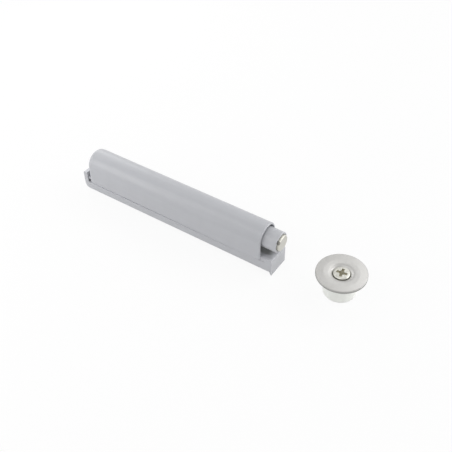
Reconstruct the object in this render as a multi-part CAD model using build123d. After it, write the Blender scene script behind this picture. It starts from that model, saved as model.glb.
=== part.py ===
from build123d import *
import os
from math import cos, radians, sin

# Touch latch for a cabinet door, latched, with its strike standing beside it on its knock-in dowel.
# Millimetres. The origin is the middle of the mounting face, halfway between the two screw holes.
# +X is the way the plunger comes out, +Z points away from the panel that the latch is screwed to.

# Mounting base
base_length = 76.5
base_width = 8.1
base_floor = 1.5
base_side_wall = 1.1
base_side_height = 3.8
ledge_height = 2.7
rebate_depth = 0.35
front_block_height = 4.8
cheek_wall = 0.9
lip_drop = 1.2
lip_thickness = 0.8
lip_edge = 0.12
end_wall_height = 6.8
end_wall_thickness = 1.65
end_wall_foot_radius = 1.8
end_wall_top_radius = 0.7
ramp_start_gap = 0.3
ramp_edge = 0.4
ramp_sag = 0.2
core_wall = 1.0
core_depth = 2.0
tray_rib_thickness = 0.8
tray_rib_spacing = 26.0
tray_rib_count = 3
screw_spacing = 32.0
screw_hole_diameter = 3.2
screw_sink_diameter = 5.4

# Housing that clips over the base
housing_width = 9.1
housing_top = 14.7
housing_wall = 0.6
housing_back_wall = 1.4
housing_back_draft = 0.5
housing_corner_radius = 1.6
housing_setback = 4.05
housing_back_gap = 0.9
mouth_depth = 4.3
mouth_chamfer = 0.12
housing_front_bevel = 0.3
guide_bridge = 1.4
rail_width = 0.4
rail_height = 0.5
toe_length = 1.0
toe_height = 0.3
toe_drop = 0.65
toe_root_length = 2.0
toe_inset = 0.45
toe_clearance = 0.06
toe_slot_spare = 0.2
tongue_height = 0.6
tongue_rise = 0.35
tongue_side_margin = 0.3
nib_width = 3.4
nib_reach = 0.7
nib_clearance = 0.15

# Plunger and its tip
plunger_diameter = 6.8
plunger_bore = 5.1
plunger_protrusion = 1.35
plunger_stroke = 37.0
push_in = 2.2
push_in_spare = 0.5
stop_clearance = 0.05
running_clearance = 0.05
heel_length = 12.0
heel_side_clearance = 0.2
heel_rail_clearance = 0.2
cap_head_length = 2.6
cap_spigot_length = 3.0
cap_edge_bevel = 0.2
cap_recess_depth = 0.2
cap_rim_width = 0.42
press_clearance = 0.02
magnet_diameter = 5.3
magnet_thickness = 2.0
magnet_proud = 0.65
magnet_edge_bevel = 0.2
magnet_clearance = 0.03
pole_plate_thickness = 0.5
pry_slot_width = 1.1
pry_slot_reach = 0.25
pry_slot_depth = 0.9
pry_slot_turn = 40.0

# Spring on its rod
spring_wire = 0.5
spring_outer_diameter = 4.6
spring_turns = 12
spring_wire_sides = 5
spring_end_clearance = 0.02
rod_diameter = 2.6
rod_tip_clearance = 4.0
plug_thickness = 1.5
plug_boss_diameter = 3.4
plug_boss_height = 0.8
fitting_clearance = 0.05

# Heart-shaped track and the wire that runs in it
plate_thickness = 1.25
plate_front_margin = 0.5
groove_depth = 0.9
wire_diameter = 0.7
wire_sides = 6
wire_bend_radius = 0.9
wire_lift = 0.8
wire_floor_clearance = 0.1
wire_hole_clearance = 0.04
wire_bend_relief = 0.1
wire_anchor_margin = 1.6
wire_anchor_depth = 1.1
wire_recess_width = 4.4
wire_recess_spare = 0.05
lane_clearance = 0.2
notch_clearance = 0.1
notch_half_angle = 60.0
track_corner_radius = 0.3
latched_pin_offset = 0.6
heart_length = 6.8
heart_half_width = 1.35
heart_shoulder = 2.6
heart_lobe_reach = 0.35
heart_lobe_width = 0.85
heart_flank_width = 1.2
nose_reach = 1.05
nose_offset = 0.3

# Strike: steel disc, countersunk screw and knock-in dowel
strike_forward = 20.3
strike_sideways = 2.2
strike_height = 8.1
disc_diameter = 15.6
disc_thickness = 0.8
disc_edge_bevel = 0.18
dish_diameter = 10.8
dish_depth = 0.12
sink_rim_diameter = 7.0
sink_diameter = 5.9
sink_rim_depth = 0.45
sink_hole_diameter = 3.4
sink_boss_depth = 2.6
sink_boss_wall = 0.57
strike_head_diameter = 5.1
strike_head_edge = 0.7
strike_head_dome = 0.06
strike_head_bevel = 0.18
strike_shank_diameter = 3.0
strike_point_length = 1.6
strike_tip_margin = 0.6
drive_diameter = 3.3
drive_arm_width = 0.85
drive_centre_diameter = 1.7
drive_depth = 1.3
drive_tick_length = 4.4
drive_tick_width = 0.3
drive_tick_depth = 0.15
drive_turn = 8.0
dowel_top_diameter = 10.7
dowel_foot_diameter = 10.2
dowel_foot_bevel = 0.3
dowel_bore_clearance = 0.05
dowel_recess_clearance = 0.06

# Places that follow from the sizes
front = base_length / 2
back = -base_length / 2
half_base = base_width / 2
half_housing = housing_width / 2
axis_height = housing_top - half_housing
half_cavity = half_housing - housing_wall
housing_front = front - housing_setback
end_wall_face = back + end_wall_thickness
ramp_front = front - ramp_edge
toe_back = housing_front - toe_root_length
toe_slot_front = housing_front + toe_length + toe_slot_spare
toe_bottom = base_side_height - toe_drop
toe_top = toe_bottom + toe_height
housing_back = end_wall_face + housing_back_gap
cavity_back = housing_back + housing_back_wall
plug_front = cavity_back + plug_thickness
plunger_back = plug_front + push_in + push_in_spare
heel_front = plunger_back + heel_length
guide_back = heel_front + plunger_stroke + stop_clearance
guide_front = housing_front - mouth_depth
ramp_start = guide_front + ramp_start_gap
tip = front + plunger_protrusion
cap_front = tip - magnet_proud
cap_back = cap_front - cap_head_length
spring_front = cap_back - cap_spigot_length
rod_front = spring_front - push_in - rod_tip_clearance
plate_top = base_side_height + plate_thickness
rail_top = plate_top + rail_height
plunger_radius = plunger_diameter / 2
guide_radius = plunger_radius + running_clearance
bridge_bottom = axis_height - guide_radius - guide_bridge
heel_half_width = half_cavity - heel_side_clearance
heel_bottom = rail_top + heel_rail_clearance
wire_radius = wire_diameter / 2
wire_height = plate_top + wire_lift
recess_top = wire_height + wire_radius + wire_recess_spare
anchor_top = recess_top + wire_anchor_depth
anchor_x = heel_front - wire_anchor_margin
pin_x = plunger_back + latched_pin_offset
groove_floor = plate_top - groove_depth
tongue_bottom = base_side_height + tongue_rise
tongue_half_width = half_base - tongue_side_margin
rest_slope = lip_drop / (base_length - lip_edge - end_wall_foot_radius)
strike_x = front + strike_forward
strike_foot = -lip_drop - rest_slope * (strike_forward + lip_edge - dowel_foot_diameter / 2)
strike_top = strike_foot + strike_height


def box(x0, x1, y0, y1, z0, z1):
    """Block between two corners."""
    block = Box(x1 - x0, y1 - y0, z1 - z0)
    return Pos((x0 + x1) / 2, (y0 + y1) / 2, (z0 + z1) / 2) * block


def rod_along_x(x0, x1, radius):
    """Round bar on the plunger's axis."""
    bar = Rot(0, 90, 0) * Cylinder(radius, x1 - x0)
    return Pos((x0 + x1) / 2, 0, axis_height) * bar


def arch_bar(x0, x1, half_width, bottom):
    """Bar with straight sides and a half-round crown, centred on the plunger's axis."""
    with BuildSketch(Plane.YZ.offset(x0)) as section:
        with Locations((0, (bottom + axis_height) / 2)):
            Rectangle(2 * half_width, axis_height - bottom)
        with Locations((0, axis_height)):
            Circle(half_width)
        with Locations((0, bottom - half_width)):
            Rectangle(4 * half_width, 2 * half_width, mode=Mode.SUBTRACT)
    return extrude(section.sketch, x1 - x0)


def side_profile(points):
    """Face in the XZ plane through the given points."""
    with BuildSketch(Plane.XZ) as face:
        with BuildLine():
            Polyline(*points, close=True)
        make_face()
    return face.sketch


# Mounting base: channel with an end wall, a front block with a ramp, and a lip that hooks over the panel's edge
def base_block():
    """Side outline as wide as the base, with its end wall, front block and tapered lip."""
    face = side_profile([
        (back, 0),
        (back, end_wall_height),
        (end_wall_face, end_wall_height),
        (end_wall_face, ledge_height),
        (housing_back, ledge_height),
        (housing_back, base_side_height),
        (housing_front, base_side_height),
        (housing_front, front_block_height),
        (front, front_block_height),
        (front, -lip_drop),
        (front - lip_edge, -lip_drop),
        (front - lip_thickness, 0),
    ])
    rear = face.vertices().sort_by(Axis.X)[:2].sort_by(Axis.Z)
    face = fillet(rear[0], end_wall_foot_radius)
    top_rear = face.vertices().sort_by(Axis.Z)[-2:].sort_by(Axis.X)
    face = fillet(top_rear[0], end_wall_top_radius)
    top_front = face.vertices().sort_by(Axis.X)[-2:].sort_by(Axis.Z)
    face = fillet(top_front[-1], ramp_edge)
    return extrude(face, half_base, both=True)


def side_rebate(side):
    """Step along one side that leaves a shadow line under the housing, and fades out at the front."""
    with BuildSketch(Plane.XY.offset(ledge_height)) as plan:
        with BuildLine():
            Polyline(
                (housing_back, side * half_base),
                (housing_back, side * (half_base - rebate_depth)),
                (housing_front, side * half_base),
                close=True,
            )
        make_face()
    return extrude(plan.sketch, base_side_height - ledge_height)


def ramp_cutter():
    """Space above the long hollow ramp between the cheeks."""
    low = (ramp_start, base_side_height)
    high = (ramp_front, front_block_height)
    with BuildSketch(Plane.XZ) as face:
        with BuildLine():
            SagittaArc(low, high, -ramp_sag)
            Polyline(high, (ramp_front, end_wall_height), (ramp_start, end_wall_height), low)
        make_face()
    return extrude(face.sketch, half_base - cheek_wall, both=True)


def mounting_base():
    half_tray = half_base - base_side_wall
    half_ramp = half_base - cheek_wall
    body = base_block()
    body += box(ramp_start, housing_front, -half_ramp, half_ramp, base_floor, front_block_height)
    body -= box(end_wall_face, ramp_start, -half_tray, half_tray, base_floor, end_wall_height)
    for number in range(tray_rib_count):
        middle = (number - (tray_rib_count - 1) / 2) * tray_rib_spacing
        body += box(middle - tray_rib_thickness / 2, middle + tray_rib_thickness / 2,
                    -half_tray, half_tray, base_floor, base_side_height)
    body -= ramp_cutter()
    half_core = half_base - core_wall
    body -= box(ramp_start + core_wall, front - core_wall, -half_core, half_core, 0, core_depth)
    sink_depth = (screw_sink_diameter - screw_hole_diameter) / 2
    for side in (-1, 1):
        hole = Cylinder(screw_hole_diameter / 2, base_floor)
        sink = Cone(screw_hole_diameter / 2, screw_sink_diameter / 2, sink_depth)
        body -= Pos(side * screw_spacing / 2, 0, base_floor / 2) * hole
        body -= Pos(side * screw_spacing / 2, 0, base_floor - sink_depth / 2) * sink
        body -= side_rebate(side)
        inner, outer = sorted((side * (half_base - toe_inset - toe_clearance), side * half_base))
        slot_bottom = toe_bottom - toe_clearance
        body -= box(housing_front, toe_slot_front, inner, outer, slot_bottom, toe_top + toe_clearance)
        body -= box(toe_back - toe_clearance, housing_front, inner, outer, slot_bottom, base_side_height)
    half_window = nib_width / 2 + nib_clearance
    body -= box(back, end_wall_face, -half_window, half_window,
                tongue_bottom - nib_clearance, tongue_bottom + tongue_height + nib_clearance)
    return body


# Housing: thin arched shell with a round guide for the plunger, closed at the back
def back_slope():
    """Wedge that leans the housing's back forward towards the crown."""
    face = side_profile([
        (housing_back, base_side_height),
        (housing_back + housing_back_draft, housing_top),
        (housing_back, housing_top),
    ])
    return extrude(face, half_housing, both=True)


def housing_shell():
    body = arch_bar(housing_back, housing_front, half_housing, base_side_height)
    body -= back_slope()
    back_edges = body.faces().sort_by(Axis.X)[0].edges().sort_by(Axis.Z)
    body = fillet(back_edges[1:], housing_corner_radius)
    front_edges = body.edges().group_by(Axis.X)[-1].sort_by(Axis.Z)
    body = chamfer(front_edges[1:], housing_front_bevel)
    body -= arch_bar(cavity_back, guide_back, half_cavity, base_side_height)
    body -= arch_bar(guide_front, housing_front, half_cavity, base_side_height)
    body -= rod_along_x(guide_back, guide_front, guide_radius)
    body -= box(guide_back, guide_front, -half_cavity, half_cavity, base_side_height, bridge_bottom)
    return body


def mouth_bevel():
    """Ring that bevels the inner edge of the mouth."""
    wide = half_cavity + mouth_chamfer
    with BuildSketch(Plane.YZ.offset(housing_front)) as outer:
        with Locations((0, (base_side_height + axis_height) / 2)):
            Rectangle(2 * wide, axis_height - base_side_height)
        with Locations((0, axis_height)):
            Circle(wide)
    return extrude(outer.sketch, -mouth_chamfer, taper=45)


def housing():
    body = housing_shell()
    body -= mouth_bevel()
    for side in (-1, 1):
        inner, outer = sorted((side * (half_cavity - rail_width), side * (half_cavity + housing_wall / 2)))
        body += box(plug_front, guide_back, inner, outer, plate_top, rail_top)
        inner, outer = sorted((side * (half_base - toe_inset), side * (half_base - toe_clearance / 2)))
        body += box(toe_back, housing_front + toe_length, inner, outer, toe_bottom, toe_top)
        body += box(toe_back, housing_front, inner, outer, toe_bottom, base_side_height + toe_drop)
    body += box(end_wall_face + fitting_clearance, housing_back + housing_back_wall / 2,
                -tongue_half_width, tongue_half_width, tongue_bottom, tongue_bottom + tongue_height)
    body += box(end_wall_face - nib_reach, housing_back, -nib_width / 2, nib_width / 2,
                tongue_bottom, tongue_bottom + tongue_height)
    return body


# Track plate: floor of the housing, with the heart-shaped track that holds and frees the plunger
def heart_outline(start):
    """Island of the track: a blunt heart with the latching notch in its back."""
    grip = wire_radius + notch_clearance
    rim_x = grip * cos(radians(notch_half_angle))
    rim_y = grip * sin(radians(notch_half_angle))
    with BuildSketch() as face:
        with BuildLine():
            ThreePointArc((start + rim_x, rim_y), (start + grip, 0), (start + rim_x, -rim_y))
            Polyline(
                (start + rim_x, -rim_y),
                (start - heart_lobe_reach, -heart_lobe_width),
                (start, -heart_flank_width),
                (start + heart_shoulder, -heart_half_width),
                (start + heart_length, 0),
                (start + heart_shoulder, heart_half_width),
                (start, heart_flank_width),
                (start - heart_lobe_reach, heart_lobe_width),
                (start + rim_x, rim_y),
            )
        make_face()
    return face.sketch


def track_outline(start):
    """Walls of the track: a pear-shaped pocket round the heart, a nose behind it and a long lane."""
    lane = wire_radius + lane_clearance
    around = 2 * lane
    rear = start - push_in - lane
    with BuildSketch() as face:
        with BuildLine():
            Polyline(
                (rear, nose_offset + lane / 2),
                (rear, heart_lobe_width + lane),
                (start - heart_lobe_reach - around, heart_flank_width + around),
                (start + heart_shoulder, heart_half_width + around),
                (start + heart_length + around, lane),
                (start + plunger_stroke, lane),
                (start + plunger_stroke + lane, 0),
                (start + plunger_stroke, -lane),
                (start + heart_length + around, -lane),
                (start + heart_shoulder, -heart_half_width - around),
                (start - heart_lobe_reach - around, -heart_flank_width - around),
                (rear, -heart_lobe_width - lane),
                (rear + nose_reach, -nose_offset),
                close=True,
            )
        make_face()
        fillet(face.vertices(), track_corner_radius)
    return face.sketch


def track_plate():
    half_plate = half_cavity - fitting_clearance
    body = box(cavity_back + fitting_clearance, guide_front - plate_front_margin,
               -half_plate, half_plate, base_side_height, plate_top)
    groove = extrude(track_outline(pin_x) - heart_outline(pin_x), groove_depth)
    return body - Pos(0, 0, groove_floor) * groove


# Wire follower: anchored in the plunger's heel, its bent tip rests in the heart's notch
def cam_follower():
    tip_height = groove_floor + wire_floor_clearance
    path = FilletPolyline(
        (anchor_x, 0, anchor_top),
        (anchor_x, 0, wire_height),
        (pin_x, 0, wire_height),
        (pin_x, 0, tip_height),
        radius=wire_bend_radius,
    )
    section = Plane(origin=path @ 0, z_dir=path % 0) * RegularPolygon(wire_radius, wire_sides)
    return sweep(section, path=path)


# Plunger: round tube with a heel that runs between the housing's walls
def plunger():
    body = rod_along_x(plunger_back, cap_back, plunger_radius)
    body += box(plunger_back, heel_front, -heel_half_width, heel_half_width, heel_bottom, axis_height)
    body -= rod_along_x(plunger_back, cap_back, plunger_bore / 2)
    body -= box(plunger_back, anchor_x + wire_diameter, -wire_recess_width / 2, wire_recess_width / 2,
                heel_bottom, recess_top)
    hole = wire_radius + wire_hole_clearance
    hole_depth = wire_anchor_depth + wire_floor_clearance
    body -= Pos(anchor_x, 0, recess_top + hole_depth / 2) * Cylinder(hole, hole_depth)
    body -= box(anchor_x - wire_bend_radius, anchor_x, -hole, hole,
                heel_bottom, wire_height + wire_bend_radius + wire_bend_relief)
    return body


# Tip of the plunger: cap with the magnet on its steel pole plate
def tip_cap():
    head = rod_along_x(cap_back, cap_front, plunger_radius)
    head = chamfer(head.edges().sort_by(Axis.X)[-1], cap_edge_bevel)
    head += rod_along_x(spring_front, cap_back, plunger_bore / 2 - press_clearance)
    pocket = magnet_thickness + pole_plate_thickness - magnet_proud
    head -= rod_along_x(cap_front - pocket, cap_front, magnet_diameter / 2 + magnet_clearance)
    recess = plunger_radius - cap_rim_width
    head -= rod_along_x(cap_front - cap_recess_depth, cap_front, recess)
    slot_reach = recess + pry_slot_reach
    slot = box(cap_front - pry_slot_depth, cap_front, -slot_reach, 0, -pry_slot_width / 2, pry_slot_width / 2)
    return head - Pos(0, 0, axis_height) * Rot(-pry_slot_turn, 0, 0) * slot


def pole_plate():
    seat = tip - magnet_thickness
    return rod_along_x(seat - pole_plate_thickness, seat, magnet_diameter / 2)


def magnet():
    disc = rod_along_x(tip - magnet_thickness, tip, magnet_diameter / 2)
    return chamfer(disc.edges().sort_by(Axis.X)[-1], magnet_edge_bevel)


# Spring, its guide rod and the plug that carries them at the back of the housing
def main_spring():
    length = spring_front - plug_front - spring_wire - 2 * spring_end_clearance
    mean_radius = (spring_outer_diameter - spring_wire) / 2
    coil = Helix(length / spring_turns, length, mean_radius)
    section = Plane(origin=coil @ 0, z_dir=coil % 0) * RegularPolygon(spring_wire / 2, spring_wire_sides)
    wire = sweep(section, path=coil, is_frenet=True)
    start = plug_front + spring_wire / 2 + spring_end_clearance
    return Pos(start, 0, axis_height) * Rot(0, 90, 0) * wire


def spring_rod():
    return rod_along_x(cavity_back + fitting_clearance, rod_front, rod_diameter / 2)


def end_plug():
    half_plug = half_cavity - fitting_clearance
    body = arch_bar(cavity_back, plug_front, half_plug, plate_top)
    body += rod_along_x(plug_front, plug_front + plug_boss_height, plug_boss_diameter / 2)
    return body - rod_along_x(cavity_back, plug_front + plug_boss_height, rod_diameter / 2 + press_clearance)


# Strike: everything is turned about one upright axis
def turned(points):
    """Solid of revolution about the strike's axis from (radius, height) points."""
    with BuildSketch(Plane.XZ) as half:
        with BuildLine():
            Polyline(*points, close=True)
        make_face()
    return Pos(strike_x, strike_sideways, 0) * revolve(half.sketch, Axis.Z)


def sink_height(radius):
    """Height of the disc's 45 degree countersink at a radius."""
    return strike_top - sink_rim_depth - (sink_diameter / 2 - radius)


def strike_plate():
    hole = sink_hole_diameter / 2
    boss = hole + sink_boss_wall
    boss_bottom = strike_top - sink_boss_depth
    underside = strike_top - disc_thickness
    rim = disc_diameter / 2
    return turned([
        (rim, underside),
        (rim, strike_top - disc_edge_bevel),
        (rim - disc_edge_bevel, strike_top),
        (dish_diameter / 2, strike_top),
        (sink_rim_diameter / 2, strike_top - dish_depth),
        (sink_diameter / 2, strike_top - sink_rim_depth),
        (hole, sink_height(hole)),
        (hole, boss_bottom),
        (boss, boss_bottom),
        (boss + underside - boss_bottom, underside),
    ])


def drive_cutters(top):
    """Shapes that cut the screw's cross recess, its round centre and the four ticks between its arms."""
    cutters = [Pos(0, 0, top) * Cylinder(drive_centre_diameter / 2, drive_depth)]
    for turn in (0, 90):
        arm = Box(drive_diameter, drive_arm_width, drive_depth)
        tick = Box(drive_tick_length, drive_tick_width, drive_tick_depth)
        tick_top = top + drive_tick_depth / 2
        cutters.append(Pos(0, 0, top) * Rot(0, 0, turn) * arm)
        cutters.append(Pos(0, 0, tick_top) * Rot(0, 0, turn + 45) * tick)
    place = Pos(strike_x, strike_sideways, 0) * Rot(0, 0, drive_turn)
    return [place * cutter for cutter in cutters]


def strike_screw():
    head = strike_head_diameter / 2
    shank = strike_shank_diameter / 2
    edge_bottom = sink_height(head)
    edge_top = edge_bottom + strike_head_edge
    point = strike_foot + strike_tip_margin
    body = turned([
        (0, point),
        (shank, point + strike_point_length),
        (shank, sink_height(shank)),
        (head, edge_bottom),
        (head, edge_top - strike_head_bevel),
        (head - strike_head_bevel, edge_top),
        (0, edge_top + strike_head_dome),
    ])
    for cutter in drive_cutters(edge_top):
        body -= cutter
    return body


def strike_dowel():
    bore = strike_shank_diameter / 2 + dowel_bore_clearance
    top = strike_top - disc_thickness
    boss = sink_hole_diameter / 2 + sink_boss_wall + dowel_recess_clearance
    boss_bottom = strike_top - sink_boss_depth - dowel_recess_clearance
    foot = dowel_foot_diameter / 2
    return turned([
        (bore, strike_foot),
        (foot - dowel_foot_bevel, strike_foot),
        (foot, strike_foot + dowel_foot_bevel),
        (dowel_top_diameter / 2, top),
        (boss + top - boss_bottom, top),
        (boss, boss_bottom),
        (bore, boss_bottom),
    ])


makers = [
    mounting_base, housing, track_plate, end_plug, spring_rod, main_spring,
    plunger, tip_cap, pole_plate, magnet, cam_follower,
    strike_plate, strike_screw, strike_dowel,
]

os.makedirs("parts", exist_ok=True)
for maker in makers:
    solid = maker()
    solid.label = maker.__name__
    export_step(solid, f"parts/{maker.__name__}.step")
    print(maker.__name__, round(solid.volume, 2))
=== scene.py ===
# %% [markdown]
# A magnetic touch latch and its strike.
#
# A touch latch holds a cabinet door shut, and a push on the door lets it spring open. Here it is
# a long moulded housing on a screw-on base, with a sprung plunger that has a magnet in its tip.
# The strike is fixed to the door. It is a small steel disc that a countersunk screw holds on a
# knock-in dowel, and it stands in front of the latch.
#
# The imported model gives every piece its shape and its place. The pieces could be modelled again
# here, but then two models would have to agree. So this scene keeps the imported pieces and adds
# finishes, a table, lamps and a camera round them, in the same frame, in metres.

from math import cos, pi, radians, sin

import bpy
from mathutils import Matrix, Vector


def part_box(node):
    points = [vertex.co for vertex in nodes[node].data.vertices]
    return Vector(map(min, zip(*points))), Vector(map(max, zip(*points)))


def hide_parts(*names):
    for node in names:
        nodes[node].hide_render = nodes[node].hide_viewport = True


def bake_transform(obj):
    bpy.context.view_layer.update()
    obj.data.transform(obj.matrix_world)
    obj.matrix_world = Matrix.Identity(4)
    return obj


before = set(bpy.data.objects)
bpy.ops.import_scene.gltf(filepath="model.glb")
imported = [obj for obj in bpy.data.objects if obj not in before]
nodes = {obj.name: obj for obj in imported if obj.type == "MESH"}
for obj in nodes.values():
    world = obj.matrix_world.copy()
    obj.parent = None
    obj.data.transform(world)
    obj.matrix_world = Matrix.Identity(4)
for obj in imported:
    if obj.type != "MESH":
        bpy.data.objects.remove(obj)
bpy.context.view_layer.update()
print("pieces:", sorted(nodes))

# %% [markdown]
# Finishes, camera and table all need places on the latch. They could be typed in as numbers, but
# then a change to the model would leave them behind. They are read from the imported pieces
# instead. Lengths are written in millimetres, as on a drawing, and MM turns them into metres.

# %% Millimetres and the base
MM = 0.001
base_low, base_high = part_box("mounting_base")


def in_mm(place):
    """The numbers of a place, in millimetres."""
    return tuple(value / MM for value in place)


print("base from", in_mm(base_low), "to", in_mm(base_high), "mm")

# %% [markdown]
# The photograph looks down on the latch from its front right corner.
#
# A camera could be placed by eye, but then the size, the angle and the perspective are never all
# right at once. A pinhole camera fitted to the outlines of the latch and the strike gives all
# three. The fit is kept as a direction, a slight roll, a distance and the point that the camera
# looks at, because those are the numbers that a photographer would set.

# %% Camera
IMAGE_PIXELS = 452
FOCAL_PIXELS = 709.1
SENSOR_WIDTH = 36.0
VIEW_AZIMUTH = radians(35.30)
VIEW_ELEVATION = radians(43.19)
VIEW_ROLL = radians(1.50)
VIEW_DISTANCE = 220.56 * MM
NEAREST_SEEN = 10 * MM
look_at = Vector((base_high.x - 17.94 * MM, -2.16 * MM, 9.17 * MM))


def camera_axes(azimuth, elevation, roll):
    """Right, up and back directions of a camera that looks along its own -Z."""
    back = Vector((
        sin(azimuth) * cos(elevation),
        -cos(azimuth) * cos(elevation),
        sin(elevation),
    ))
    level_right = Vector((0, 0, 1)).cross(back).normalized()
    level_up = back.cross(level_right)
    right = level_right * cos(roll) - level_up * sin(roll)
    return right, back.cross(right), back


right, up, back = camera_axes(VIEW_AZIMUTH, VIEW_ELEVATION, VIEW_ROLL)
turn = Matrix((right, up, back)).transposed().to_4x4()
lens = bpy.data.cameras.new("photo_camera")
lens.sensor_width = SENSOR_WIDTH
lens.lens = SENSOR_WIDTH * FOCAL_PIXELS / IMAGE_PIXELS
lens.clip_start = NEAREST_SEEN
camera = bpy.data.objects.new("photo_camera", lens)
camera.matrix_world = Matrix.Translation(look_at + back * VIEW_DISTANCE) @ turn
bpy.context.scene.collection.objects.link(camera)
bpy.context.scene.camera = camera
print("camera at", in_mm(camera.matrix_world.translation), "mm, lens", round(lens.lens, 2))

# %% [markdown]
# Every finish below is a few sums over noise patterns. The nodes for such sums could be made and
# linked one at a time, but then the sum itself can't be read any more. So one small class stands
# for the output of a node, and adding or multiplying two of them makes the node that does it.
# Numbers go through Math and directions through Vector Math, because Math would melt the three
# parts of a direction into one number. Colours go through Mix for the same reason.

# %% Signals: sums that build their own nodes
def plug(socket, value):
    """Gives an input socket a link, a number, a direction or a colour."""
    if isinstance(value, Signal):
        socket.id_data.links.new(value.socket, socket)
    elif socket.type == "RGBA":
        socket.default_value = (*value, 1.0)
    else:
        socket.default_value = value


class Signal:
    """An output socket that takes part in sums."""

    def __init__(self, socket):
        self.socket = socket

    def combine(self, operation, first, second):
        """Makes the node for one operation, and returns its output."""
        kind = "ShaderNodeVectorMath" if self.socket.type == "VECTOR" else "ShaderNodeMath"
        node = self.socket.id_data.nodes.new(kind)
        node.operation = operation
        plug(node.inputs[0], first)
        plug(node.inputs[1], second)
        return Signal(node.outputs[0])

    def __add__(self, other):
        return self.combine("ADD", self, other)

    def __radd__(self, other):
        return self.combine("ADD", other, self)

    def __sub__(self, other):
        return self.combine("SUBTRACT", self, other)

    def __rsub__(self, other):
        return self.combine("SUBTRACT", other, self)

    def __mul__(self, other):
        return self.combine("MULTIPLY", self, other)

    def __rmul__(self, other):
        return self.combine("MULTIPLY", other, self)


print("signals can be added, subtracted and multiplied")

# %% [markdown]
# A second class is a finish under construction. Its method node makes every other kind of node
# from a type, its settings and the values or links of its sockets. The other methods are short
# names for the few patterns that the finishes share. Points are measured on the piece itself, so
# a pattern travels with its piece when the plunger slides.

# %% Finish: a material under construction
class Finish:
    """Adds nodes to a material, or to the world, and hands back their outputs as signals."""

    def __init__(self, owner):
        self.owner = owner
        self.owner.use_nodes = True
        self.tree = self.owner.node_tree
        self.tree.nodes.clear()

    def node(self, kind, settings=None, inputs=None, output=None):
        """Makes a node. Sockets go by their identifiers. No output named means the first."""
        made = self.tree.nodes.new("ShaderNode" + kind)
        for name, value in (settings or {}).items():
            setattr(made, name, value)
        entries = {socket.identifier: socket for socket in made.inputs}
        for name, value in (inputs or {}).items():
            plug(entries[name], value)
        exits = {socket.identifier: socket for socket in made.outputs}
        if output:
            return Signal(exits[output])
        return Signal(made.outputs[0]) if exits else None

    def place(self):
        """Point on the piece, in millimetres."""
        return self.node("TexCoord", output="Object") * (1 / MM, 1 / MM, 1 / MM)

    def part(self, direction, axis):
        """One part of a point or a direction, by the name of its axis."""
        return self.node("SeparateXYZ", inputs={"Vector": direction}, output=axis)

    def distance(self, point, middle, share=(1, 1, 1)):
        """Distance from a place, or from an axis through it when that axis has a share of 0."""
        step = (point - middle) * share
        return self.node("VectorMath", {"operation": "LENGTH"}, {"Vector": step}, output="Value")

    def noise(self, point, scale=1.0, detail=2.0, roughness=0.5):
        """Soft pattern between 0 and 1. It is long where the point is multiplied by little."""
        return self.node("TexNoise", inputs={
            "Vector": point, "Scale": scale, "Detail": detail, "Roughness": roughness})

    def band(self, value, start, end):
        """0 at start, 1 at end and smooth between them. The start may lie above the end."""
        return self.node("MapRange", {"interpolation_type": "SMOOTHSTEP"}, {
            "Value": value, "From Min": start, "From Max": end})

    def mix(self, factor, first, second):
        """Blend of two colours."""
        return self.node("Mix", {"data_type": "RGBA"}, {
            "Factor_Float": factor, "A_Color": first, "B_Color": second}, output="Result_Color")

    def bump(self, height, distance):
        """Normals of a surface that rises by height times distance."""
        return self.node("Bump", inputs={"Strength": 1.0, "Distance": distance, "Height": height})

    def surface(self, values):
        """The shader for plain opaque surfaces, from the values of its sockets."""
        return self.node("BsdfPrincipled", inputs=values)

    def close(self, shader):
        """Ends the finish with its last shader, and returns what it was made on."""
        is_world = isinstance(self.owner, bpy.types.World)
        self.node("OutputWorld" if is_world else "OutputMaterial", inputs={"Surface": shader})
        print("finish", self.owner.name, "has", len(self.tree.nodes), "nodes")
        return self.owner


def shade(colour, share):
    """A colour made lighter or darker, as plain numbers."""
    return tuple(share * channel for channel in colour)


print("a finish is made from nodes, and a shade from numbers")

# %% [markdown]
# Faces that look up are painted paler, as painted light from above. It could be painted on by hand
# for each piece, but the direction that a face looks in tells the same: where its upward part is
# nearly 1, the face is level.
#
# The middle of the base's ramp, under the plunger, gets a dark patch: painted shade, where the
# plunger's shadow falls. It is a patch between two lines across the latch, on faces that look up.
# At the sides it fades by
# the square of the distance from the middle, which needs no sign and so is the same on both.
# Its places are in millimetres, and how far a face looks up is a number from 0 to 1.

# %% Where the painted top light and the painted shade under the plunger lie
LEVEL_STARTS = 0.55
LEVEL_FULL = 0.95
# The painted shade under the plunger lies between these lines along the latch, and fades across it.
PLUNGER_SHADE_FRONT = base_high.x / MM - 0.9
PLUNGER_SHADE_FRONT_FULL = PLUNGER_SHADE_FRONT - 2.4
PLUNGER_SHADE_BACK_FULL = PLUNGER_SHADE_FRONT - 8.0
PLUNGER_SHADE_BACK = PLUNGER_SHADE_FRONT - 9.0
PLUNGER_SHADE_SIDE_SQUARED = 4.0
PLUNGER_SHADE_CORE_SQUARED = 0.6


def level_faces(finish):
    """1 on faces that look up."""
    facing = finish.node("TexCoord", output="Normal")
    return finish.band(finish.part(facing, "Z"), LEVEL_STARTS, LEVEL_FULL)


def plunger_shade_mask(finish, point):
    """1 in the middle of the ramp, under the plunger, where painted shade goes."""
    along = finish.part(point, "X")
    across = finish.part(point, "Y")
    front = finish.band(along, PLUNGER_SHADE_FRONT, PLUNGER_SHADE_FRONT_FULL)
    back = finish.band(along, PLUNGER_SHADE_BACK, PLUNGER_SHADE_BACK_FULL)
    return front * back * finish.band(across * across, PLUNGER_SHADE_SIDE_SQUARED, PLUNGER_SHADE_CORE_SQUARED)


print("grime from", round(PLUNGER_SHADE_BACK, 2), "to", round(PLUNGER_SHADE_FRONT, 2), "mm along the latch")
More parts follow.
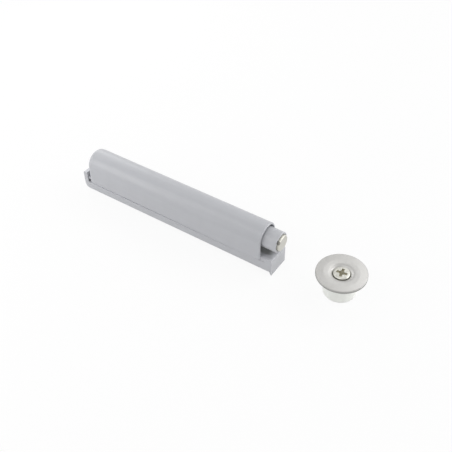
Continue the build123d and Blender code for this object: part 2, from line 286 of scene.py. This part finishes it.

# %% [markdown]
# The housing, the base, the plunger and its cap are one light grey engineering plastic from a
# spark-eroded mould. Such a surface is satin, because its fine pits blur every reflection.
#
# One colour with one gloss would look like paint, and a picture wrapped round each piece would
# show its seams. Noise in the piece's own space has neither fault. A little of it in tone and
# gloss is drawn out along the pull of the mould, finer noise makes the pits, and a few rubbed
# places are paler and rougher. The three mouldings differ a little, as parts from three moulds
# do, and the base is paler partly as painted light that makes up for the shade near the table.
# Faces that look up get painted light, most on the base's ledges, and the base alone gets painted
# shade on its ramp under the plunger.

# %% Grey moulding
# Colour of the painted shade under the plunger.
UNDER_PLUNGER_SHADE_COLOUR = (0.16, 0.165, 0.15)
MOULD_PIT_DEPTH = 0.012 * MM
PLASTIC_IOR = 1.49


def grey_moulding(name, colour, roughness, drag, top_light, under_plunger_shade=0.0):
    """Satin plastic. drag stretches flow lines; the last two set painted top light and ramp shade.
    """
    finish = Finish(bpy.data.materials.new(name))
    point = finish.place()
    level = level_faces(finish)
    flow = finish.noise(point * (0.25 / drag, 0.9, 0.9), detail=3.0)
    cloud = finish.noise(point, scale=0.35)
    pits = finish.noise(point, scale=7.0, detail=3.0, roughness=0.6)
    streaks = finish.noise(point * (0.5, 2.2, 2.2), detail=4.0, roughness=0.65)
    rubbed = finish.band(streaks, start=0.62, end=0.72)
    tone = finish.mix(0.6 * flow + 0.4 * cloud, shade(colour, 0.94), shade(colour, 1.05))
    worn = finish.mix(0.35 * rubbed, tone, shade(colour, 1.12))
    # Painted light: faces that look up are made paler, as if lit from above.
    top_lit = finish.mix(top_light * level, worn, shade(colour, 1.25))
    # Painted shade on the middle of the ramp, under the plunger, on faces that look up.
    shade_patch = plunger_shade_mask(finish, point) * level
    return finish.close(finish.surface({
        "Base Color": finish.mix(under_plunger_shade * shade_patch, top_lit, UNDER_PLUNGER_SHADE_COLOUR),
        "Roughness": roughness + 0.06 * (flow - 0.5) + 0.08 * rubbed,
        "Normal": finish.bump(pits, MOULD_PIT_DEPTH),
        "IOR": PLASTIC_IOR,
    }))


# %% Three mouldings
housing_grey = grey_moulding(
    "housing_grey", colour=(0.464, 0.471, 0.496), roughness=0.34, drag=5.0, top_light=0.08)
# The base's paler tone is partly painted light, which makes up for the shade near the table.
base_grey = grey_moulding(
    "base_grey", colour=(0.484, 0.490, 0.514), roughness=0.44, drag=3.0, top_light=1.0, under_plunger_shade=0.8)
plunger_grey = grey_moulding(
    "plunger_grey", colour=(0.477, 0.484, 0.508), roughness=0.34, drag=2.0, top_light=0.0)

# %% [markdown]
# Inside, the track plate and the spring's plug are natural acetal, a slippery off-white plastic.
# The track has to run dry for years, and that is what such parts are moulded from. The grey
# moulding's recipe could serve, but nothing rubs or dusts these pieces, so theirs is shorter.

# %% Acetal
ACETAL_DARK = (0.74, 0.74, 0.70)
ACETAL_PALE = (0.82, 0.82, 0.79)
ACETAL_PIT_DEPTH = 0.008 * MM


def natural_acetal():
    """Off-white plastic, a little cloudy."""
    finish = Finish(bpy.data.materials.new("natural_acetal"))
    point = finish.place()
    cloud = finish.noise(point, scale=0.5)
    pits = finish.noise(point, scale=8.0)
    return finish.close(finish.surface({
        "Base Color": finish.mix(cloud, ACETAL_DARK, ACETAL_PALE),
        "Roughness": 0.36 + 0.08 * cloud,
        "Normal": finish.bump(pits, ACETAL_PIT_DEPTH),
    }))


acetal = natural_acetal()

# %% [markdown]
# The wire, the rod, the spring and the plate behind the magnet are bright steel. Drawing leaves
# fine lines along a wire. An anisotropic gloss could show them, but it needs a direction at every
# point, which a bent wire makes hard to give. Noise stretched along the latch gives lines in
# tone, gloss and bump. On the coils they run across the wire, which is too thin to show it.

# %% Drawn steel
STEEL_DARK = (0.46, 0.46, 0.46)
STEEL_PALE = (0.60, 0.60, 0.60)
DRAWN_LINE_DEPTH = 0.006 * MM


def drawn_steel():
    """Bright steel with lines along the latch."""
    finish = Finish(bpy.data.materials.new("drawn_steel"))
    lines = finish.noise(finish.place() * (0.6, 14.0, 14.0), detail=3.0)
    return finish.close(finish.surface({
        "Base Color": finish.mix(lines, STEEL_DARK, STEEL_PALE),
        "Metallic": 1.0,
        "Roughness": 0.26 + 0.14 * lines,
        "Normal": finish.bump(lines, DRAWN_LINE_DEPTH),
    }))


steel = drawn_steel()

# %% [markdown]
# The magnet is a sintered disc with a nickel skin, slightly yellow beside the grey plastic. Its
# face isn't ground after plating, so it is softly mottled, and it gets fine scratches each time
# that the door closes on it. Its side is duller than the face.
#
# Beside the pry slot the edge has a small dark spot of painted shade, such as a notch there would
# hold. A notch could be cut into the mesh, but the mesh belongs to the model, and from a hand's
# breadth away a dark spot looks the same. The spot is the part of the skin that lies near one
# point.

# %% Places on the magnet, in millimetres
magnet_low, magnet_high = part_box("magnet")
magnet_middle = (magnet_low + magnet_high) / 2
magnet_radius = (magnet_high.y - magnet_low.y) / 2 / MM
# Centre of the spot of painted shade on the magnet's edge.
shade_spot_place = in_mm((
    magnet_high.x - 0.35 * MM,
    magnet_middle.y - 2.13 * MM,
    magnet_middle.z + 1.57 * MM,
))
SHADE_SPOT_REACH = 0.85
SHADE_SPOT_CORE = 0.4
SIDE_STARTS = magnet_radius - 0.2
SIDE_FULL = magnet_radius - 0.05
print("magnet radius", round(magnet_radius, 2), "mm, nick at", shade_spot_place)

# %% Nickel skin
NICKEL_DARK = (0.51, 0.50, 0.44)
NICKEL_PALE = (0.66, 0.65, 0.61)
NICKEL_SIDE = (0.55, 0.54, 0.49)
# Colour and share of the spot of painted shade.
SHADE_SPOT_COLOUR = (0.16, 0.155, 0.14)
SHADE_SPOT_STRENGTH = 0.8
NICKEL_RELIEF = 0.02 * MM


def nickel_skin():
    """Plated face, duller side and one spot of painted shade."""
    finish = Finish(bpy.data.materials.new("nickel_skin"))
    point = finish.place()
    mottle = finish.noise(point, scale=1.6, detail=4.0, roughness=0.6)
    strokes = finish.noise(point * (1.0, 9.0, 1.4), detail=5.0, roughness=0.7)
    scratches = finish.band(strokes, start=0.60, end=0.70)
    # Spot of painted shade near one point of the edge.
    shade_spot = finish.band(finish.distance(point, shade_spot_place), SHADE_SPOT_REACH, SHADE_SPOT_CORE)
    radius = finish.distance(point, in_mm(magnet_middle), share=(0, 1, 1))
    side = finish.band(radius, SIDE_STARTS, SIDE_FULL)
    face = finish.mix(mottle, NICKEL_DARK, NICKEL_PALE)
    whole = finish.mix(side, face, NICKEL_SIDE)
    return finish.close(finish.surface({
        "Base Color": finish.mix(SHADE_SPOT_STRENGTH * shade_spot, whole, SHADE_SPOT_COLOUR),
        "Metallic": 1.0,
        "Roughness": 0.28 + 0.12 * mottle + 0.14 * scratches + 0.24 * side,
        "Normal": finish.bump(mottle - 0.6 * scratches, NICKEL_RELIEF),
    }))


nickel = nickel_skin()

# %% [markdown]
# The strike's disc is pressed from steel strip and zinc plated in a barrel. That leaves a soft,
# slightly warm grey and faint circular lines from the press tool. The rim is painted darker, as
# painted shade along the edge. Round the screw's head the seat is duller, and the head's cross is
# painted dark, as painted shade in the recess.
#
# These marks could be painted one by one, but all of them lie in rings, so one number makes them
# all: the distance from the disc's axis. It drives the pattern of the lines, with a little noise
# to break them up, and each ring is a band of it. Its square in the bump lets the rim fall away
# slightly, as a pressed disc does. The painted shade in the head's cross lies deeper than the
# disc's face, and that tells it from the metal; it is darker towards the middle and not metallic.

# %% Rings on the strike, by their radius in millimetres
disc_low, disc_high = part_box("strike_plate")
disc_middle = (disc_low + disc_high) / 2
disc_radius = (disc_high.y - disc_low.y) / 2 / MM
# The disc's rim gets painted shade between these radii.
RIM_SHADE_EDGE = (disc_radius - 0.25, disc_radius - 0.10)
SEAT_OUTSIDE = (3.6, 3.4)
SEAT_INSIDE = (2.7, 2.9)
# The painted shade in the screw head's cross lies inside these radii and below this height.
RECESS_SHADE_OUTSIDE = (2.1, 1.8)
RECESS_SHADE_DEEPENS = (1.2, 0.4)
RECESS_SHADE_TOP = disc_high.z / MM - 0.2
RECESS_SHADE_FULL = RECESS_SHADE_TOP - 0.3
print("disc radius", round(disc_radius, 2), "mm, grease below", round(RECESS_SHADE_TOP, 2), "mm")

# %% Zinc plate
# Colour of the painted shade on the rim.
RIM_SHADE_COLOUR = (0.27, 0.27, 0.26)
# Colours of the painted shade in the head's cross, paler at its edge and darker in the middle.
RECESS_SHADE_PALE = (0.50, 0.47, 0.36)
RECESS_SHADE_DARK = (0.26, 0.24, 0.17)
PLATING_RELIEF = 0.01 * MM


def zinc_plate(name, dark, pale, ring_strength, roughness, droop=0.0):
    """Zinc with rings round the disc's axis. droop lets the rim fall away."""
    finish = Finish(bpy.data.materials.new(name))
    point = finish.place()
    radius = finish.distance(point, in_mm(disc_middle), share=(1, 1, 0))
    wobble = finish.noise(point, scale=0.9, detail=3.0)
    rings = finish.node("TexNoise", {"noise_dimensions": "1D"}, {
        "W": radius + 0.05 * wobble, "Scale": 7.0, "Detail": 3.0, "Roughness": 0.6})
    cloud = finish.noise(point, scale=0.7, detail=4.0, roughness=0.6)
    strokes = finish.noise(point * (2.4, 0.5, 1.0), detail=5.0, roughness=0.7)
    marks = finish.band(strokes, start=0.64, end=0.72)
    seat = finish.band(radius, *SEAT_OUTSIDE) * finish.band(radius, *SEAT_INSIDE)
    # Painted shade along the rim.
    rim_shade = finish.band(radius, *RIM_SHADE_EDGE)
    # Painted shade in the head's cross: deep, near the axis, dull and not metallic.
    deep = finish.band(finish.part(point, "Z"), RECESS_SHADE_TOP, RECESS_SHADE_FULL)
    recess_shade = deep * finish.band(radius, *RECESS_SHADE_OUTSIDE)
    zinc_and_rim_shade = finish.mix(0.5 * rim_shade, finish.mix(cloud, dark, pale), RIM_SHADE_COLOUR)
    recess_shade_tone = finish.mix(finish.band(radius, *RECESS_SHADE_DEEPENS), RECESS_SHADE_PALE, RECESS_SHADE_DARK)
    uneven_gloss = 0.10 * (rings - 0.5) + 0.10 * (cloud - 0.5) + 0.08 * marks
    duller = 0.4 * recess_shade + 0.12 * seat + 0.2 * rim_shade
    relief = ring_strength * rings + 0.5 * cloud - 0.4 * marks - droop * radius * radius
    return finish.close(finish.surface({
        "Base Color": finish.mix(recess_shade, zinc_and_rim_shade, recess_shade_tone),
        "Metallic": 1 - recess_shade,
        "Roughness": roughness + uneven_gloss + duller,
        "Normal": finish.bump(relief, PLATING_RELIEF),
    }))


# %% Zinc on the disc and on the screw
disc_zinc = zinc_plate(
    "disc_zinc", dark=(0.405, 0.40, 0.385), pale=(0.48, 0.475, 0.465),
    ring_strength=1.0, roughness=0.36, droop=0.3)
screw_zinc = zinc_plate(
    "screw_zinc", dark=(0.40, 0.395, 0.36), pale=(0.56, 0.555, 0.515),
    ring_strength=0.5, roughness=0.34)

# %% [markdown]
# The knock-in dowel is natural nylon. It is not quite opaque: light goes a little way in and
# comes out again, which is why its shaded side stays soft. A brighter colour could fake that, and
# would then be too bright in the light. A touch of scattering under the surface does it as nylon
# does, evenly in all colours, because natural nylon is hardly tinted.

# %% Nylon dowel
NYLON_DARK = (0.815, 0.825, 0.785)
NYLON_PALE = (0.875, 0.885, 0.855)
NYLON_PIT_DEPTH = 0.01 * MM
NYLON_LIGHT_DEPTH = 1.2 * MM


def natural_nylon():
    """Off-white plastic that lets light a little way in."""
    finish = Finish(bpy.data.materials.new("natural_nylon"))
    point = finish.place()
    cloud = finish.noise(point, scale=0.4)
    pits = finish.noise(point, scale=6.0)
    return finish.close(finish.surface({
        "Base Color": finish.mix(cloud, NYLON_DARK, NYLON_PALE),
        "Roughness": 0.38 + 0.1 * cloud,
        "Normal": finish.bump(pits, NYLON_PIT_DEPTH),
        "Subsurface Weight": 0.35,
        "Subsurface Radius": (1.0, 1.0, 1.0),
        "Subsurface Scale": NYLON_LIGHT_DEPTH,
    }))


nylon = natural_nylon()

# %% [markdown]
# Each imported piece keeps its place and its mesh, and only gets its finish. No real edge is a
# perfect corner, and a small rounding catches the light. It could be cut into the mesh, but the
# mesh belongs to the model, so the outer pieces get a Bevel modifier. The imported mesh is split
# along its edges, so a Weld modifier joins it first. The bevel takes only the sharp edges, and
# leaves those alone that turn a little, as on the housing's arch.

# %% Rounded edges
WELD_REACH = 0.002 * MM
SHARP_TURN = radians(32)
ROUNDING_STEPS = 3


def soften(piece, width):
    """Rounds the piece's sharp edges."""
    weld = piece.modifiers.new("joined_edges", "WELD")
    weld.merge_threshold = WELD_REACH
    bevel = piece.modifiers.new("edge_rounding", "BEVEL")
    bevel.width = width
    bevel.segments = ROUNDING_STEPS
    bevel.limit_method = "ANGLE"
    bevel.angle_limit = SHARP_TURN
    bevel.harden_normals = True
    print("rounded the edges of", piece.name, "by", round(width / MM, 2), "mm")


# %% Dress the pieces
def dress(name, material, rounding=0.0):
    """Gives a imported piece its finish, and its edges a rounding where it has one."""
    piece = nodes[name]
    piece.data.materials.clear()
    piece.data.materials.append(material)
    if rounding:
        soften(piece, rounding)
    print("dressed", name, "in", material.name)


dress("housing", housing_grey, rounding=0.06 * MM)
dress("mounting_base", base_grey, rounding=0.08 * MM)
dress("plunger", plunger_grey)
dress("tip_cap", plunger_grey, rounding=0.06 * MM)
dress("magnet", nickel, rounding=0.06 * MM)
dress("pole_plate", steel)
dress("track_plate", acetal)
dress("end_plug", acetal)
dress("spring_rod", steel)
dress("cam_follower", steel)
dress("strike_plate", disc_zinc, rounding=0.08 * MM)
dress("strike_screw", screw_zinc, rounding=0.04 * MM)
dress("strike_dowel", nylon, rounding=0.15 * MM)

# %% [markdown]
# The main spring sits between the plug at the housing's back and the plunger's cap, and it
# stretches as the plunger comes out. It could ride on one body, and would then stay behind or
# slide out with the plunger. Cloth that crosses a joint has the same need, which the frame's blend
# answers, with one end on each body and the turns between them spread. A blend needs a mesh of its
# own, so this is a copy of the imported spring, with the steel finish, and it stands for that one.
# No blend is set up for it here, so the copy stays where the imported spring was.

# %% Copy of the spring
spring = bpy.data.objects.new("stretching_spring", nodes["main_spring"].data.copy())
bpy.context.scene.collection.objects.link(spring)
spring.data.materials.clear()
spring.data.materials.append(steel)
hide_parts("main_spring")
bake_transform(spring)

# %% [markdown]
# A catalogue picture has a pure white ground. More light would give that, and would bleach the
# pieces too. So the table is plain white to the camera, to mirrors and through glass, and a share
# of it is left as matt paper, which keeps the shadow. Every other ray sees only the paper.

# %% White ground
PAPER_COLOUR = (0.88, 0.88, 0.88)
WHITE = (1, 1, 1)


def background_rays(finish):
    """1 for the rays that come from the camera, off a glossy piece or through a clear one."""
    seen = finish.node("LightPath", output="Is Camera Ray")
    mirrored = finish.node("LightPath", output="Is Glossy Ray")
    through = finish.node("LightPath", output="Is Transmission Ray")
    return seen + mirrored + through


def table_white(shadow_share):
    """White ground that keeps a share of the shadow."""
    finish = Finish(bpy.data.materials.new("table_white"))
    paper = finish.node("BsdfDiffuse", inputs={"Color": PAPER_COLOUR})
    glow = finish.node("Emission", inputs={"Color": WHITE, "Strength": 1.0})
    share = background_rays(finish) * (1 - shadow_share)
    return finish.close(finish.node("MixShader", inputs={
        "Fac": share, "Shader": paper, "Shader_001": glow}))


white_ground = table_white(shadow_share=0.10)

# %% [markdown]
# The latch stands on the table. The lip at its front reaches below its base, so it leans back by
# almost one degree. The latch could be turned to stand level, but its pieces stay where the model
# has them, so the table slopes instead. The slope follows from how far the lip reaches down, and
# from where the lip and the base's rounded back edge touch. The width of the lip's edge and that
# rounding can't be read from a box, so they are given here.

# %% Table
TABLE_HALF_WIDTH = 1.5
TABLE_GAP = 0.01 * MM
LIP_EDGE_WIDTH = 0.12 * MM
FOOT_RADIUS = 1.8 * MM
lip_drop = -base_low.z
lean = lip_drop / (base_high.x - base_low.x - LIP_EDGE_WIDTH - FOOT_RADIUS)
lip_edge = Vector((base_high.x - LIP_EDGE_WIDTH, 0, -lip_drop))


def table_corner(x, y):
    """Point on the sloping table, a hair below what stands on it."""
    return x, y, lip_edge.z - lean * (x - lip_edge.x) - TABLE_GAP


table_mesh = bpy.data.meshes.new("table")
table_mesh.from_pydata([
    table_corner(-TABLE_HALF_WIDTH, -TABLE_HALF_WIDTH),
    table_corner(TABLE_HALF_WIDTH, -TABLE_HALF_WIDTH),
    table_corner(TABLE_HALF_WIDTH, TABLE_HALF_WIDTH),
    table_corner(-TABLE_HALF_WIDTH, TABLE_HALF_WIDTH),
], [], [(0, 1, 2, 3)])
table_mesh.materials.append(white_ground)
table = bpy.data.objects.new("table", table_mesh)
bpy.context.scene.collection.objects.link(table)
print("table leans by", round(lean, 5))

# %% [markdown]
# The bands along the housing tell how it was lit. It is pale along the far edge, darker near the
# crown and pale again on the near shoulder, and the near side is paler towards the back. One big
# lamp overhead would light the crown instead. So the light comes from round the latch:
#
# - a long box high on the near side gives the near side its tone and its shoulder the pale band
# - two small boxes close to the back end, one on each side, make that end paler than the front
# - a wide box far out on the right lights the far side, the magnet and the front
# - a weak box beyond the back end fills in the end wall
# - a box above the far side shows as the sheen on the disc
# - a small low box on the right reaches the front, under the plunger
#
# Their places were chosen from those bands. Their strengths could be guessed one after another,
# but each changes what the others need. So each box was rendered alone, and the mix of those
# renders that came nearest to the photograph's greys gave the strengths. They were then corrected,
# and the tones of the finishes with them, so a darker plastic under stronger lamps might
# match as well. Where a pale piece went past white, the box was made wider or dimmer.

# %% Lamps
latch_middle = Vector((0.01, 0, 0.006))


def soft_box(name, place, width, height, brightness):
    """Rectangular lamp. Its brightness is what a mirror would show of it, where white is 1."""
    lamp = bpy.data.lights.new(name, "AREA")
    lamp.shape = "RECTANGLE"
    lamp.size = width
    lamp.size_y = height
    lamp.energy = brightness * pi * width * height
    holder = bpy.data.objects.new(name, lamp)
    holder.location = place
    aim = latch_middle - Vector(place)
    holder.rotation_euler = aim.to_track_quat("-Z", "Y").to_euler()
    bpy.context.scene.collection.objects.link(holder)
    print("lamp", name, round(lamp.energy, 3), "W")


soft_box("near_high_box", (-0.05, -0.40, 0.45), width=0.60, height=0.25, brightness=1.45)
soft_box("near_close_box", (-0.12, -0.12, 0.06), width=0.12, height=0.10, brightness=2.15)
soft_box("far_close_box", (-0.14, 0.10, 0.10), width=0.10, height=0.08, brightness=2.25)
soft_box("far_right_box", (0.42, 0.36, 0.20), width=0.56, height=0.40, brightness=2.20)
soft_box("left_end_box", (-0.50, 0.0, 0.30), width=0.45, height=0.45, brightness=0.80)
soft_box("sheen_box", (0.06, 0.36, 0.38), width=0.26, height=0.20, brightness=1.60)
soft_box("right_low_box", (0.40, 0.0, 0.07), width=0.20, height=0.12, brightness=2.60)

# %% [markdown]
# The room is the even light from everywhere else, half as bright as white. A picture of a studio
# could give it, but would need a file and would show things in the metal that aren't there, so it
# is one plain tone. The camera, mirrors and glass see it as white, like the table, so the table's
# far edge shows only as a faint line from low angles. Last, Blender's film-like curve is switched
# off, because it would grey the white and dull the colours.

# %% Room
ROOM_BRIGHTNESS = 0.5
room = Finish(bpy.data.worlds.new("pale_room"))
lit = ROOM_BRIGHTNESS + (1 - ROOM_BRIGHTNESS) * background_rays(room)
sky = room.node("Background", inputs={"Color": WHITE, "Strength": lit})
bpy.context.scene.world = room.close(sky)
bpy.context.scene.view_settings.view_transform = "Standard"
